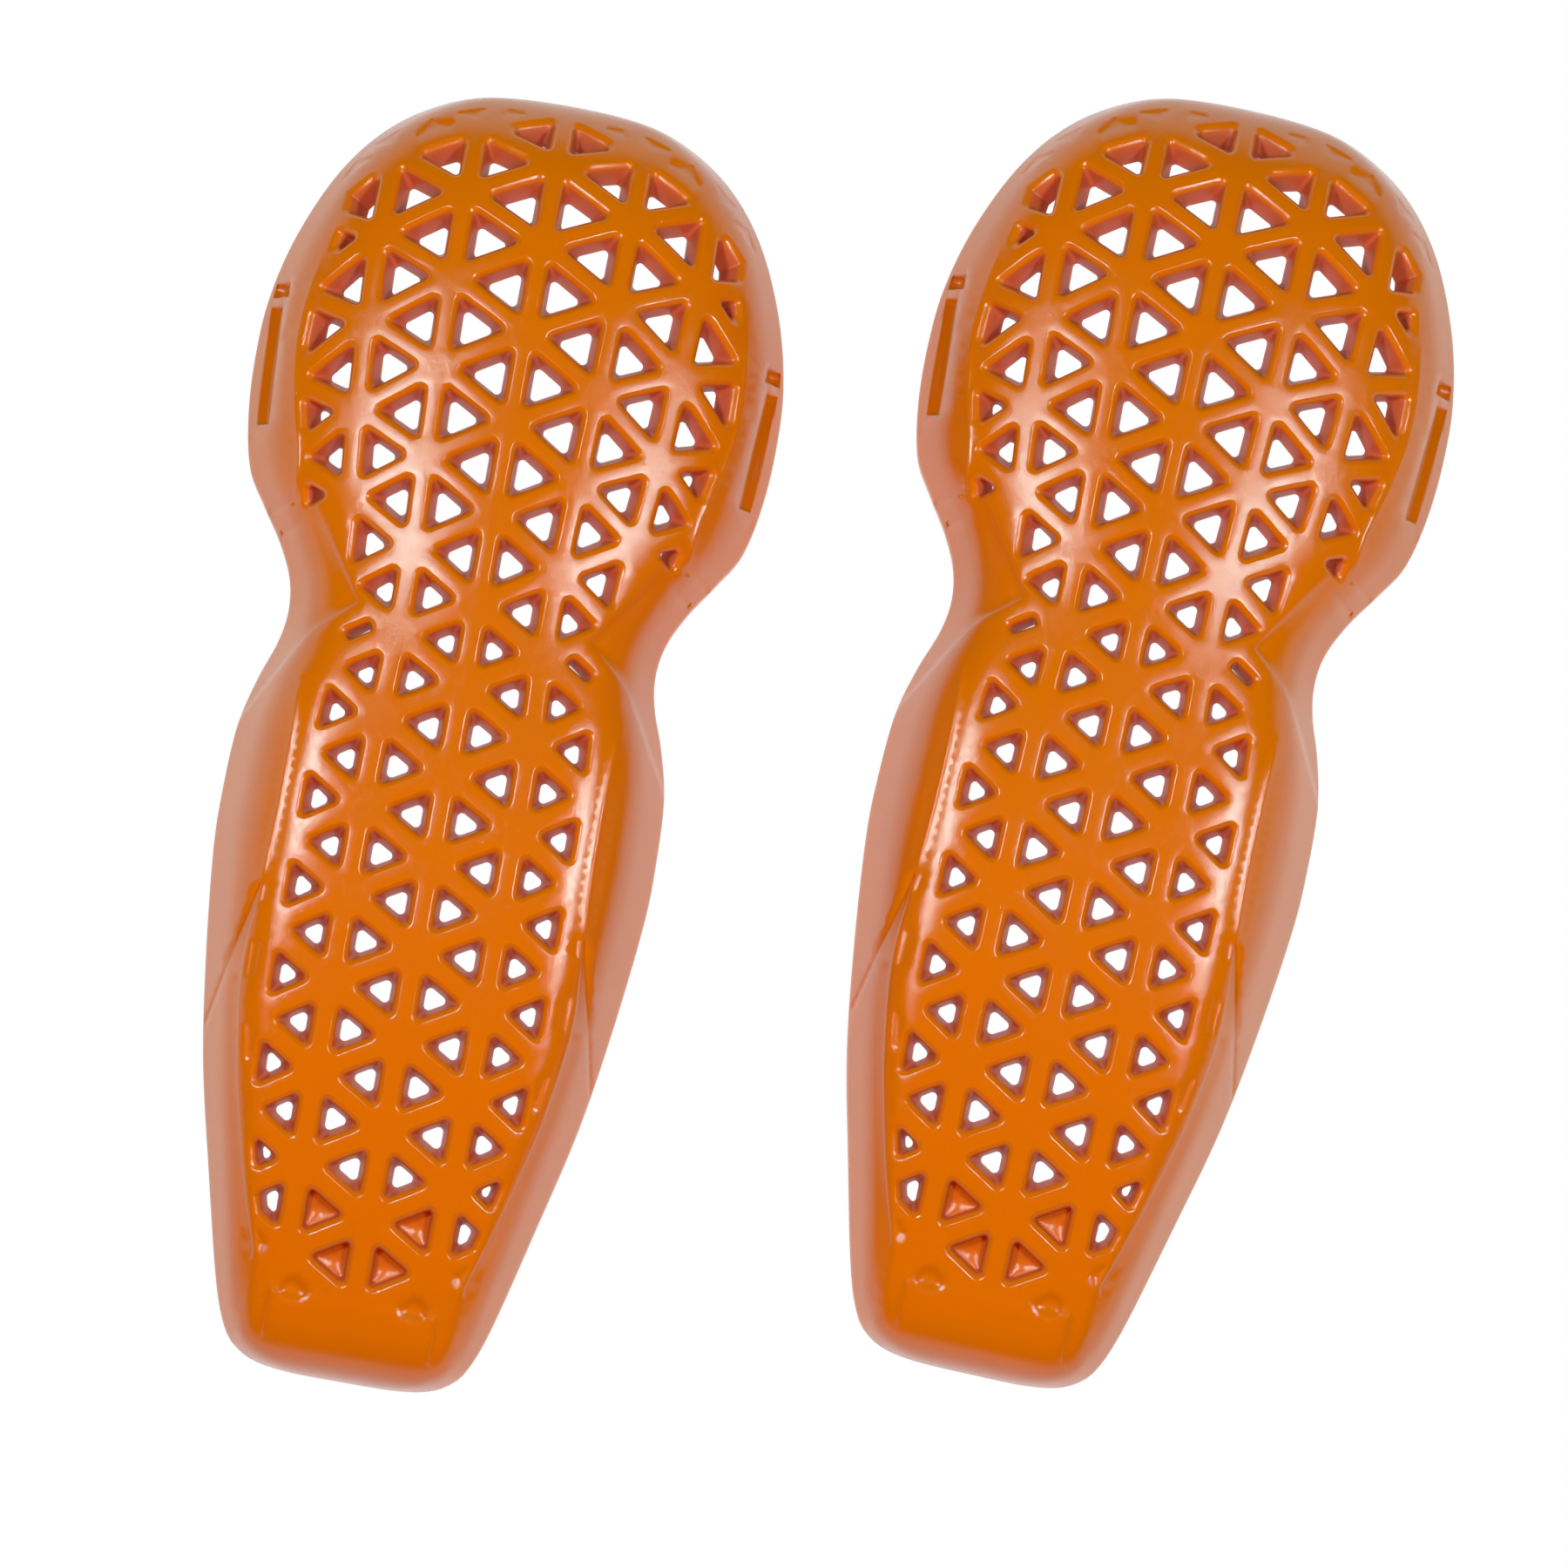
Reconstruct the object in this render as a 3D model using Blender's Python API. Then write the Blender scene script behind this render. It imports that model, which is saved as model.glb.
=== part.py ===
"""A pair of moulded knee-and-shin pads with triangular vents.

Each pad is a bowl for the knee, a narrow waist that bends and a long channel
for the shin.  It lies with its hollow side down.  In a pad's own frame +Y runs
from the shin to the knee, +Z is away from the leg and the origin lies on the
axis that the waist bends about.
"""

import math

import bmesh
import bpy
import numpy as np
from mathutils import Matrix, Vector
from mathutils.geometry import delaunay_2d_cdt

MM = 0.001

# Where the two pads lie: the distance between them, the stagger and the splay.
PAD_SPACING_X = 197.1 * MM
PAD_STAGGER_Y = 40.0 * MM
PAD_SPLAY = math.radians(1.25)

# The outline of one half of a pad, from the end of the shin to the top of the knee,
# as half widths at heights along the pad.  A smooth curve runs through the points.
OUTLINE = [
    (0.0, -227.6), (16.0, -227.4), (26.5, -225.9), (33.2, -222.5), (37.7, -216.9),
    (42.6, -203.5), (50.6, -171.4), (58.0, -139.5), (62.9, -107.4), (66.4, -75.3),
    (66.9, -57.0), (65.9, -36.6), (62.4, -21.9), (58.2, -10.0), (56.7, 0.0),
    (58.2, 10.1), (63.1, 20.8), (70.0, 31.5), (76.2, 42.1), (79.6, 58.2),
    (80.7, 76.9), (79.5, 95.6), (74.1, 116.9), (64.3, 138.3), (51.0, 154.3),
    (33.7, 165.0), (17.3, 168.5), (0.0, 169.5),
]
PAD_TOP = 169.5
PAD_END = -227.6
OUTLINE_STEP = 7.0

# The outer surface: its height on the axis, how much it domes across and how square its
# shoulders are.
CROWN = 51.5
SHIN_FALL_START = -60.0
SHIN_FALL = 0.0048
SHIN_FALL_POWER = 1.7
CUP_FALL = 0.00012
DOME_START = 60.0
DOME_POWER = 4.0
END_START = -150.0
END_POWER = 20.0
CUP_DOMING = 0.4
CUP_FROM, CUP_TO = -40.0, 30.0
SHOULDER_POWER = 8.0
SHIN_SQUARER = 3.0
SQUARER_FROM, SQUARER_TO = -60.0, -140.0
CUP_SQUARER = 4.0

# The wall, its flat rim and the arch of the rim at the waist.
WALL = 8.5
RIM_WIDTH = 8.0
ARCH_RISE = 8.0
ARCH_HALF = 45.0
RIM_RINGS = (2.5, 9.0)
BACK_CLEARANCE = 1.0

# The lattice of struts: rows along the pad and columns across it.
SHIN_ROW_0 = -180.3
SHIN_PITCH = 27.25
WAIST_ROW = 6
WAIST_PITCH = 25.3
CUP_PITCH = 28.1
TOP_ROW = 13
COLUMN = 23.5
COLUMN_CROWDING = 0.035
SPREAD_AT = [-180.0, -110.0, -40.0, 0.0, 40.0, 70.0, 120.0]
SPREAD = [0.972, 1.0, 1.0, 0.945, 0.985, 1.045, 1.10]
DROOP = 3.3e-5
DROOP_FULL_AT = 75.0
HALF_STRUT = 4.0
VENT_TAPER = 1.3

# The edge of the raised field that holds the vents.
FIELD_EDGE = [
    (32.1, -194.5), (37.7, -177.2), (43.3, -156.0), (47.0, -139.0), (50.5, -111.4),
    (48.5, -82.0), (47.6, -60.0), (48.1, -26.0), (53.0, 20.0), (58.7, 30.6),
    (61.1, 46.7), (64.5, 60.0), (67.2, 77.3), (66.6, 94.7), (62.6, 120.0),
]
SHIN_EDGE_MARGIN = 3.4
CUP_EDGE_MARGIN = 2.0

# The vents of one half, as column, apex side (+1 out, -1 in), and first and last row.
VENT_RUNS = [(0, 1, 0.5, 12.5), (0, -1, 1.0, 12.0), (1, 1, 0.0, 12.0),
             (1, -1, 0.5, 5.5), (1, -1, 7.5, 11.5), (2, 1, 8.5, 11.5), (2, -1, 8.0, 11.0)]

# The slot beside the waist and the lines where the waist meets the two shells.
SLOT_CENTRE = (34.3, -5.3)
SLOT_HALF_LENGTH = 3.6
SLOT_HALF_WIDTH = 1.5
SLOT_SLOPE = math.radians(-33.0)
CUP_SEAM_RIM_Y = 13.5
SHIN_SEAM_RIM_Y = -13.5
SEAM_GAP = 0.5
HINGE_HEIGHT = 34.0

PAD_ORANGE = (0.72, 0.16, 0.0, 1.0)
SHARP_ANGLE = math.radians(35.0)


def smoothstep(value, low, high):
    t = min(max((value - low) / (high - low), 0.0), 1.0)
    return t * t * (3.0 - 2.0 * t)


def spline_point(points, i, t):
    """Return a point of the Catmull-Rom curve between points i and i + 1."""
    last = len(points) - 1
    p0, p1, p2, p3 = (np.array(points[min(max(i + k, 0), last)]) for k in (-1, 0, 1, 2))
    return 0.5 * (2.0 * p1 + (p2 - p0) * t + (2.0 * p0 - 5.0 * p1 + 4.0 * p2 - p3) * t * t
                  + (3.0 * p1 - p0 - 3.0 * p2 + p3) * t ** 3)


def outline_half(step):
    """Sample one half of the outline, from its end to its top."""
    samples = []
    for i in range(len(OUTLINE) - 1):
        length = math.dist(OUTLINE[i], OUTLINE[i + 1])
        count = max(1, round(length / step))
        samples += [spline_point(OUTLINE, i, k / count) for k in range(count)]
    samples.append(np.array(OUTLINE[-1]))
    return np.array(samples)


FINE_HALF = outline_half(1.0)


def half_width(y):
    return float(np.interp(y, FINE_HALF[:, 1], FINE_HALF[:, 0]))


def rim_height(y):
    """The rim is flat on the ground, and arches over it at the waist."""
    if abs(y) >= ARCH_HALF:
        return 0.0
    return ARCH_RISE * math.cos(0.5 * math.pi * y / ARCH_HALF) ** 2


def axis_height(y):
    """Height of the outer surface on the pad's centre line."""
    shin_run = max(SHIN_FALL_START - y, 0.0)
    cup_run = max(y - SHIN_FALL_START, 0.0)
    height = CROWN - SHIN_FALL * shin_run ** SHIN_FALL_POWER - CUP_FALL * cup_run ** 2
    dome = min(max((y - DOME_START) / (PAD_TOP - DOME_START), 0.0), 1.0)
    end = min(max((y - END_START) / (PAD_END - END_START), 0.0), 1.0)
    return height * math.sqrt(1.0 - dome ** DOME_POWER) * math.sqrt(1.0 - end ** END_POWER)


def surface(x, y):
    """Height of the outer surface over a point of the plan."""
    across = min(abs(x) / max(half_width(y), 0.001), 1.0)
    cup = smoothstep(y, CUP_FROM, CUP_TO)
    power = (SHOULDER_POWER + CUP_SQUARER * cup
             + SHIN_SQUARER * smoothstep(-y, -SQUARER_FROM, -SQUARER_TO))
    doming = CUP_DOMING * cup
    shoulder = 1.0 - doming * across ** 2 - (1.0 - doming) * across ** power
    rim = rim_height(y)
    return rim + max(axis_height(y) - rim, 0.0) * shoulder


def inward_shift(x, y):
    """Step from the outer surface to the inner one, along the surface's own normal."""
    h = 0.2
    slope_x = (surface(x + h, y) - surface(x - h, y)) / (2.0 * h)
    slope_y = (surface(x, y + h) - surface(x, y - h)) / (2.0 * h)
    normal = Vector((-slope_x, -slope_y, 1.0)).normalized()
    return -WALL * normal


def row_heights():
    """Heights of the lattice rows, equally spaced along the surface of the dome."""
    rows = {r: SHIN_ROW_0 + SHIN_PITCH * r for r in range(-1, WAIST_ROW + 1)}
    y = rows[WAIST_ROW] + WAIST_PITCH
    rows[WAIST_ROW + 1] = y
    for r in range(WAIST_ROW + 2, TOP_ROW + 1):
        travelled = 0.0
        while travelled < CUP_PITCH and y < PAD_TOP - 1.0:
            travelled += math.hypot(0.1, axis_height(y + 0.1) - axis_height(y))
            y += 0.1
        rows[r] = y
    return rows


ROWS = row_heights()


def lattice_node(column, row):
    """A strut crossing: whole rows on even columns, half rows on odd ones."""
    y = float(np.interp(row, sorted(ROWS), [ROWS[r] for r in sorted(ROWS)]))
    spread = float(np.interp(y, SPREAD_AT, SPREAD))
    x = COLUMN * spread * (column - COLUMN_CROWDING * column * (column - 1))
    return np.array((x, y - DROOP * smoothstep(y, 0.0, DROOP_FULL_AT) * x ** 3))


def clip_to_field(corners, margin):
    """Cut a vent off where the raised field ends."""
    edges, heights = zip(*FIELD_EDGE)

    def room(p):
        return np.interp(p[1], heights, edges) - margin - p[0]

    kept = []
    for a, b in zip(corners, corners[1:] + corners[:1]):
        if room(a) >= 0.0:
            kept.append(a)
        if (room(a) > 0.0) != (room(b) > 0.0):
            kept.append(a + (b - a) * room(a) / (room(a) - room(b)))
    return kept


def vent(column, side, row):
    """One triangular vent: a lattice cell drawn in by half a strut."""
    base_column, apex_column = (column, column + 1) if side > 0 else (column + 1, column)
    cell = [lattice_node(base_column, row - 0.5), lattice_node(base_column, row + 0.5),
            lattice_node(apex_column, row)]
    lengths = [math.dist(cell[1], cell[2]), math.dist(cell[0], cell[2]), math.dist(cell[0], cell[1])]
    centre = sum(length * corner for length, corner in zip(lengths, cell)) / sum(lengths)
    area = abs(np.linalg.det(np.array([cell[1] - cell[0], cell[2] - cell[0]]))) / 2.0
    inradius = 2.0 * area / sum(lengths)
    shrink = 1.0 - HALF_STRUT / inradius
    corners = [centre + (corner - centre) * shrink for corner in cell]
    margin = CUP_EDGE_MARGIN if centre[1] > 0.0 else SHIN_EDGE_MARGIN
    return clip_to_field(corners, margin)


def slot():
    along = np.array((math.cos(SLOT_SLOPE), math.sin(SLOT_SLOPE)))
    across = np.array((-along[1], along[0]))
    centre = np.array(SLOT_CENTRE)
    signs = [(-1, -1), (1, -1), (1, 1), (-1, 1)]
    return [centre + a * SLOT_HALF_LENGTH * along + c * SLOT_HALF_WIDTH * across for a, c in signs]


def all_vents():
    one_side = [slot()]
    for column, side, first, last in VENT_RUNS:
        for k in range(round(last - first) + 1):
            one_side.append(vent(column, side, first + k))
    mirrored = [[corner * np.array((-1.0, 1.0)) for corner in corners] for corners in one_side]
    return one_side + mirrored


def in_polygon(point, corners):
    inside = False
    for a, b in zip(corners, corners[1:] + corners[:1]):
        if (a[1] > point[1]) != (b[1] > point[1]):
            if point[0] < a[0] + (b[0] - a[0]) * (point[1] - a[1]) / (b[1] - a[1]):
                inside = not inside
    return inside


def rim_loop(inset):
    """The whole outline, drawn in by a distance."""
    seams = [(half_width(y), y) for y in (CUP_SEAM_RIM_Y, SHIN_SEAM_RIM_Y)]
    half = np.vstack([outline_half(OUTLINE_STEP), seams])
    half = half[np.argsort(half[:, 1])]
    tangent = np.gradient(half, axis=0)
    tangent[0] = (1.0, 0.0)
    tangent[-1] = (-1.0, 0.0)
    inward = np.stack([-tangent[:, 1], tangent[:, 0]], axis=1)
    half = half + inset * inward / np.linalg.norm(inward, axis=1)[:, None]
    mirrored = half[1:-1][::-1] * np.array((-1.0, 1.0))
    return list(np.vstack([half, mirrored]))


def seam(rim_y, inner_row, bulge):
    """A zigzag from rim to rim along the struts, which the waist and a shell share."""
    rim_point = (half_width(rim_y), rim_y)
    half = [lattice_node(0, inner_row), lattice_node(1, inner_row + bulge), lattice_node(2, inner_row)]
    for inset in RIM_RINGS[::-1] + (0.0,):
        half.append(min(rim_loop(inset), key=lambda p: math.dist(p, rim_point)))
    return [p * np.array((-1.0, 1.0)) for p in reversed(half[1:])] + half


def zone_of(point, cup_seam, shin_seam):
    def seam_y(line):
        xs = [p[0] for p in line]
        return float(np.interp(point[0], xs, [p[1] for p in line]))

    if point[1] > seam_y(cup_seam):
        return "knee_cup"
    return "flex_web" if point[1] > seam_y(shin_seam) else "shin_guard"


def near_vent(point, vents):
    return any(in_polygon(point + np.array(step), corners)
               for corners in vents for step in ((1, 0), (-1, 0), (0, 1), (0, -1)))


def plan_sheet(rim, vents, seams):
    """Triangulate the plan of a pad between its rim, its vents and its two seams."""
    points, edges = [], []

    def add_line(line, closed):
        start = len(points)
        points.extend(Vector(p) for p in line)
        edges.extend((start + k, start + k + 1) for k in range(len(line) - 1))
        if closed:
            edges.append((start + len(line) - 1, start))

    for line in [rim] + vents:
        add_line(line, True)
    for line in seams:
        add_line(line, False)
    for inset in RIM_RINGS:
        points.extend(Vector(p) for p in rim_loop(inset) if not near_vent(p, vents))
    verts, _, faces, _, _, _ = delaunay_2d_cdt(points, edges, [], 1, 1e-4)
    zones = {"knee_cup": [], "flex_web": [], "shin_guard": []}
    for face in faces:
        centre = sum((verts[i] for i in face), Vector((0.0, 0.0))) / len(face)
        if not any(in_polygon(centre, corners) for corners in vents):
            zones[zone_of(centre, *seams)].append(list(face))
    return verts, zones


def key(point):
    return round(point[0], 2), round(point[1], 2)


def back_points(verts, rim, vents):
    """Give each plan point its place on the inner surface."""
    inner_rim = {key(p): q for p, q in zip(rim, rim_loop(RIM_WIDTH))}
    vent_centre = {key(p): sum(corners) / len(corners) for corners in vents for p in corners}
    backs = []
    for v in verts:
        if key(v) in inner_rim:
            inner = inner_rim[key(v)]
            backs.append(Vector((inner[0], inner[1], rim_height(v.y))))
            continue
        back = Vector((v.x, v.y, surface(v.x, v.y))) + inward_shift(v.x, v.y)
        if key(v) in vent_centre:
            towards = Vector(vent_centre[key(v)]) - v
            back += (towards.normalized() * VENT_TAPER).to_3d()
        back.z = max(back.z, rim_height(v.y) + BACK_CLEARANCE)
        backs.append(back)
    return backs


def shell(name, verts, backs, faces, seams):
    """Thicken one zone of the sheet, and keep it half the seam gap away from its neighbours."""
    bm = bmesh.new()
    plan = bm.verts.layers.int.new("plan")
    fronts = {}
    for i in sorted({i for face in faces for i in face}):
        fronts[i] = bm.verts.new((verts[i].x, verts[i].y, surface(verts[i].x, verts[i].y)))
        fronts[i][plan] = i
    sheet = [bm.faces.new([fronts[i] for i in face]) for face in faces]
    extruded = bmesh.ops.extrude_face_region(bm, geom=sheet)["geom"]
    for item in extruded:
        if isinstance(item, bmesh.types.BMVert):
            item.co = backs[item[plan]]
    middle = sum(verts[i].y for i in fronts) / len(fronts)
    seam_keys = [{key(p) for p in seam_line} for seam_line in seams]
    for vert in bm.verts:
        for keys in seam_keys:
            if key(verts[vert[plan]]) in keys:
                vert.co.y += math.copysign(0.5 * SEAM_GAP, middle - verts[vert[plan]].y)
    bmesh.ops.recalc_face_normals(bm, faces=bm.faces)
    bmesh.ops.triangulate(bm, faces=bm.faces)
    bmesh.ops.translate(bm, verts=bm.verts, vec=(0.0, 0.0, -HINGE_HEIGHT))
    bmesh.ops.scale(bm, verts=bm.verts, vec=(MM, MM, MM))
    mesh = bpy.data.meshes.new(name)
    bm.to_mesh(mesh)
    bm.free()
    mesh.shade_smooth()
    mesh.set_sharp_from_angle(angle=SHARP_ANGLE)
    return mesh


def pad_material(name):
    material = bpy.data.materials.new(name)
    material.use_nodes = True
    principled = material.node_tree.nodes["Principled BSDF"]
    principled.inputs["Base Color"].default_value = PAD_ORANGE
    principled.inputs["Roughness"].default_value = 0.45
    principled.inputs["Metallic"].default_value = 0.0
    return material


def pad_places():
    """Place the two pads so that the pair's bounding box is centred on the origin."""
    rim = np.array(rim_loop(0.0)) * MM
    places = {}
    low, high = np.full(2, 9.0), np.full(2, -9.0)
    for name, side in (("left", -1.0), ("right", 1.0)):
        angle = -side * PAD_SPLAY
        turn = np.array([[math.cos(angle), -math.sin(angle)], [math.sin(angle), math.cos(angle)]])
        offset = 0.5 * side * np.array((PAD_SPACING_X, PAD_STAGGER_Y))
        spread = rim @ turn.T + offset
        low, high = np.minimum(low, spread.min(axis=0)), np.maximum(high, spread.max(axis=0))
        places[name] = (offset, angle)
    centre = (low + high) / 2.0
    return {name: (offset - centre, angle) for name, (offset, angle) in places.items()}


def build():
    for old in list(bpy.data.objects):
        bpy.data.objects.remove(old, do_unlink=True)
    rim = rim_loop(0.0)
    vents = all_vents()
    seams = (seam(CUP_SEAM_RIM_Y, WAIST_ROW + 1, 0.5), seam(SHIN_SEAM_RIM_Y, WAIST_ROW, -0.5))
    verts, zones = plan_sheet(rim, vents, seams)
    backs = back_points(verts, rim, vents)
    meshes = {zone: shell(zone, verts, backs, faces, seams) for zone, faces in zones.items()}
    for side, (offset, angle) in pad_places().items():
        holder = bpy.data.objects.new(side + "_pad", None)
        bpy.context.collection.objects.link(holder)
        holder.matrix_world = (Matrix.Translation((offset[0], offset[1], HINGE_HEIGHT * MM))
                               @ Matrix.Rotation(angle, 4, "Z"))
        for zone, mesh in meshes.items():
            piece = bpy.data.objects.new(side + "_" + zone, mesh.copy())
            bpy.context.collection.objects.link(piece)
            piece.parent = holder
            piece.data.materials.append(pad_material(side + "_" + zone))


build()
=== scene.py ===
# %% [markdown]
# # A pair of moulded knee-and-shin pads
# The real pads are soft elastomer mouldings: a bowl over the knee, a waist that bends and a long
# channel for the shin, all pierced by a lattice of triangular vents. This lesson builds one pad as
# a single skin in a flat plan, gives the skin its thickness, and then moves every point on to the
# moulded surface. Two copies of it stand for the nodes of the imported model.

import math

import bmesh
import bpy
import numpy as np
from mathutils import Matrix, Vector
from mathutils.geometry import delaunay_2d_cdt
from mathutils.kdtree import KDTree


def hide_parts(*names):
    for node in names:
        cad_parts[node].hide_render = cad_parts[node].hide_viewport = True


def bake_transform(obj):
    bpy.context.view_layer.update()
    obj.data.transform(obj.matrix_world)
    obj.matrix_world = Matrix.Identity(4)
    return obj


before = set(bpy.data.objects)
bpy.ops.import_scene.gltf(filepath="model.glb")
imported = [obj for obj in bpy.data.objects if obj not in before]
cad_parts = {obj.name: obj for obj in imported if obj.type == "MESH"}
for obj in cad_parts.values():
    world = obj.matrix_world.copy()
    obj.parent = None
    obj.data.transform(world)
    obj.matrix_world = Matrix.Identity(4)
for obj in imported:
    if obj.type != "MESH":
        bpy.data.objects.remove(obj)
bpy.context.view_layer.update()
MM = 0.001

# %% [markdown]
# ## The outline
# Seen from the front a pad is one closed curve. Only the points that the shape needs are given, as
# half widths at heights along the pad, in millimetres from the line that the waist bends about. A
# Catmull-Rom curve goes through all of them, which a Bezier curve would only do with handles.

# %% Outline of one half
OUTLINE = [
    (0.0, -227.6), (16.0, -227.4), (26.5, -225.9), (33.2, -222.5), (37.7, -216.9),
    (42.6, -203.5), (50.6, -171.4), (58.0, -139.5), (62.9, -107.4), (66.4, -75.3),
    (66.9, -57.0), (65.9, -36.6), (62.4, -21.9), (58.2, -10.0), (56.7, 0.0),
    (58.2, 10.1), (63.1, 20.8), (70.0, 31.5), (76.2, 42.1), (79.6, 58.2),
    (80.7, 76.9), (79.5, 95.6), (74.1, 116.9), (64.3, 138.3), (51.0, 154.3),
    (33.7, 165.0), (17.3, 168.5), (0.0, 169.5),
]
PAD_TOP = OUTLINE[-1][1]
PAD_END = OUTLINE[0][1]
MIRROR = np.array((-1.0, 1.0))


def smooth_curve(points, step):
    """Sample a Catmull-Rom curve through the points, about one step apart."""
    points = np.array(points, float)
    last = len(points) - 1
    samples = []
    for i in range(last):
        p0, p1, p2, p3 = (points[min(max(i + k, 0), last)] for k in (-1, 0, 1, 2))
        count = max(1, round(float(np.linalg.norm(p2 - p1)) / step))
        for k in range(count):
            t = k / count
            samples.append(0.5 * (2.0 * p1 + (p2 - p0) * t
                                  + (2.0 * p0 - 5.0 * p1 + 4.0 * p2 - p3) * t * t
                                  + (3.0 * p1 - p0 - 3.0 * p2 + p3) * t ** 3))
    samples.append(points[-1])
    return np.array(samples)


half_outline = smooth_curve(OUTLINE, 0.5)


def half_width(y):
    return np.interp(y, half_outline[:, 1], half_outline[:, 0])


def evenly(line, step):
    """Put points an even step apart along a line, ends included."""
    lengths = np.concatenate([[0.0], np.cumsum(np.linalg.norm(np.diff(line, axis=0), axis=1))])
    count = max(2, round(lengths[-1] / step) + 1)
    at = np.linspace(0.0, lengths[-1], count)
    return np.stack([np.interp(at, lengths, line[:, 0]), np.interp(at, lengths, line[:, 1])], axis=1)


def rim_loop(inset, step=2.6):
    """The whole outline, anticlockwise, drawn in by a distance, with its outward directions."""
    half = evenly(half_outline, step)
    tangent = np.gradient(half, axis=0)
    tangent[0] = (1.0, 0.0)
    tangent[-1] = (-1.0, 0.0)
    outward = np.stack([tangent[:, 1], -tangent[:, 0]], axis=1)
    outward /= np.linalg.norm(outward, axis=1)[:, None]
    half = half - inset * outward
    loop = np.vstack([half, half[1:-1][::-1] * MIRROR])
    return loop, np.vstack([outward, outward[1:-1][::-1] * MIRROR])


print("outline points", len(rim_loop(0.0)[0]))

# %% [markdown]
# ## The moulded surface
# Over the plan, the outer surface is a height. Along the centre line it falls gently towards the
# shin's end and over the dome of the knee, and across the pad it is flat with square shoulders that
# drop steeply to the rim. A formula gives it, so that any number of mesh points can lie on it.

# %% Height of the outer surface
CROWN = 51.5
SHIN_FALL_START = -60.0
SHIN_FALL = 0.0048
SHIN_FALL_POWER = 1.7
CUP_FALL = 0.00012
DOME_START = 60.0
DOME_POWER = 4.0
END_START = -150.0
END_POWER = 20.0
CUP_DOMING = 0.4
SHOULDER_POWER = 8.0
SHIN_SQUARER = 3.0
CUP_SQUARER = 4.0
SHIN_STEEPEST = 2.9
CUP_STEEPEST = 2.4
RIM_ROUND = 2.2
ARCH_RISE = 8.0
ARCH_HALF = 45.0


def smoothstep(value, low, high):
    t = np.clip((value - low) / (high - low), 0.0, 1.0)
    return t * t * (3.0 - 2.0 * t)


def rim_height(y):
    """The rim is flat on the ground, and arches over it at the waist."""
    arch = np.cos(0.5 * np.pi * np.clip(y / ARCH_HALF, -1.0, 1.0)) ** 2
    return ARCH_RISE * arch


def axis_height(y):
    shin_run = np.maximum(SHIN_FALL_START - y, 0.0)
    cup_run = np.maximum(y - SHIN_FALL_START, 0.0)
    height = CROWN - SHIN_FALL * shin_run ** SHIN_FALL_POWER - CUP_FALL * cup_run ** 2
    dome = np.clip((y - DOME_START) / (PAD_TOP - DOME_START), 0.0, 1.0)
    end = np.clip((y - END_START) / (PAD_END - END_START), 0.0, 1.0)
    return height * np.sqrt(1.0 - dome ** DOME_POWER) * np.sqrt(1.0 - end ** END_POWER)


def surface(x, y):
    across = np.minimum(np.abs(x) / np.maximum(half_width(y), 0.01), 1.0)
    cup = smoothstep(y, -40.0, 30.0)
    power = SHOULDER_POWER + CUP_SQUARER * cup + SHIN_SQUARER * smoothstep(-y, 60.0, 140.0)
    doming = CUP_DOMING * cup
    foot = rim_height(y) + RIM_ROUND
    height = np.maximum(axis_height(y) - foot, 0.01)
    cap = SHIN_STEEPEST + (CUP_STEEPEST - SHIN_STEEPEST) * cup
    steepest = cap * np.maximum(half_width(y), 1.0) / height
    share = np.clip((steepest - 1.8 * doming) / ((1.0 - doming) * power), 0.05, 1.0)
    bend = share ** (1.0 / (power - 1.0))
    inner = np.minimum(across, bend)
    slope = 2.0 * doming * bend + (1.0 - doming) * power * bend ** (power - 1.0)
    shoulder = 1.0 - doming * inner ** 2 - (1.0 - doming) * inner ** power
    shoulder = np.maximum(shoulder - slope * (across - inner), 0.0)
    return foot + height * shoulder


def surface_normal(x, y):
    h = 0.04
    slope_x = (surface(x + h, y) - surface(x - h, y)) / (2.0 * h)
    slope_y = (surface(x, y + h) - surface(x, y - h)) / (2.0 * h)
    normal = np.stack([-slope_x, -slope_y, np.ones_like(slope_x)], axis=1)
    return normal / np.linalg.norm(normal, axis=1)[:, None]


print("height over the knee", round(float(surface(np.array(0.0), np.array(80.0))), 1))

# %% [markdown]
# ## The lattice of struts
# The struts run along the pad and at sixty degrees to it. Their crossings make rows and columns,
# which crowd together at the waist and spread over the knee. Each cell between three crossings
# holds one vent, a triangle drawn in from the struts' centre lines and rounded at its corners.

# %% Rows, columns and vents
SHIN_ROW_0 = -180.3
SHIN_PITCH = 27.25
WAIST_ROW = 6
WAIST_PITCH = 25.3
CUP_PITCH = 28.1
TOP_ROW = 14
COLUMN = 23.5
COLUMN_CROWDING = 0.035
SPREAD_AT = [-180.0, -110.0, -40.0, 0.0, 40.0, 70.0, 120.0]
SPREAD = [0.972, 1.0, 1.0, 0.945, 0.985, 1.045, 1.10]
DROOP = 3.3e-5
DROOP_FULL_AT = 75.0
SHIN_STRUT = 4.0
CUP_STRUT = 3.4
FILLET_WIDTH = 1.95
BACK_TAPER = 1.3
MOUTH_RADIUS = 2.7
WALL_RADIUS = 1.0
BACK_RADIUS = 1.4
FIELD_EDGE = [
    (32.1, -194.5), (37.7, -177.2), (43.3, -156.0), (47.0, -139.0), (50.5, -111.4),
    (48.5, -82.0), (47.6, -60.0), (48.1, -26.0), (53.0, 20.0), (58.7, 30.6),
    (61.1, 46.7), (64.5, 60.0), (67.2, 77.3), (66.6, 94.7), (62.6, 120.0),
]
SHIN_EDGE_MARGIN = 3.4
CUP_EDGE_MARGIN = 2.0
SHORTEST_SIDE = 1.8
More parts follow.
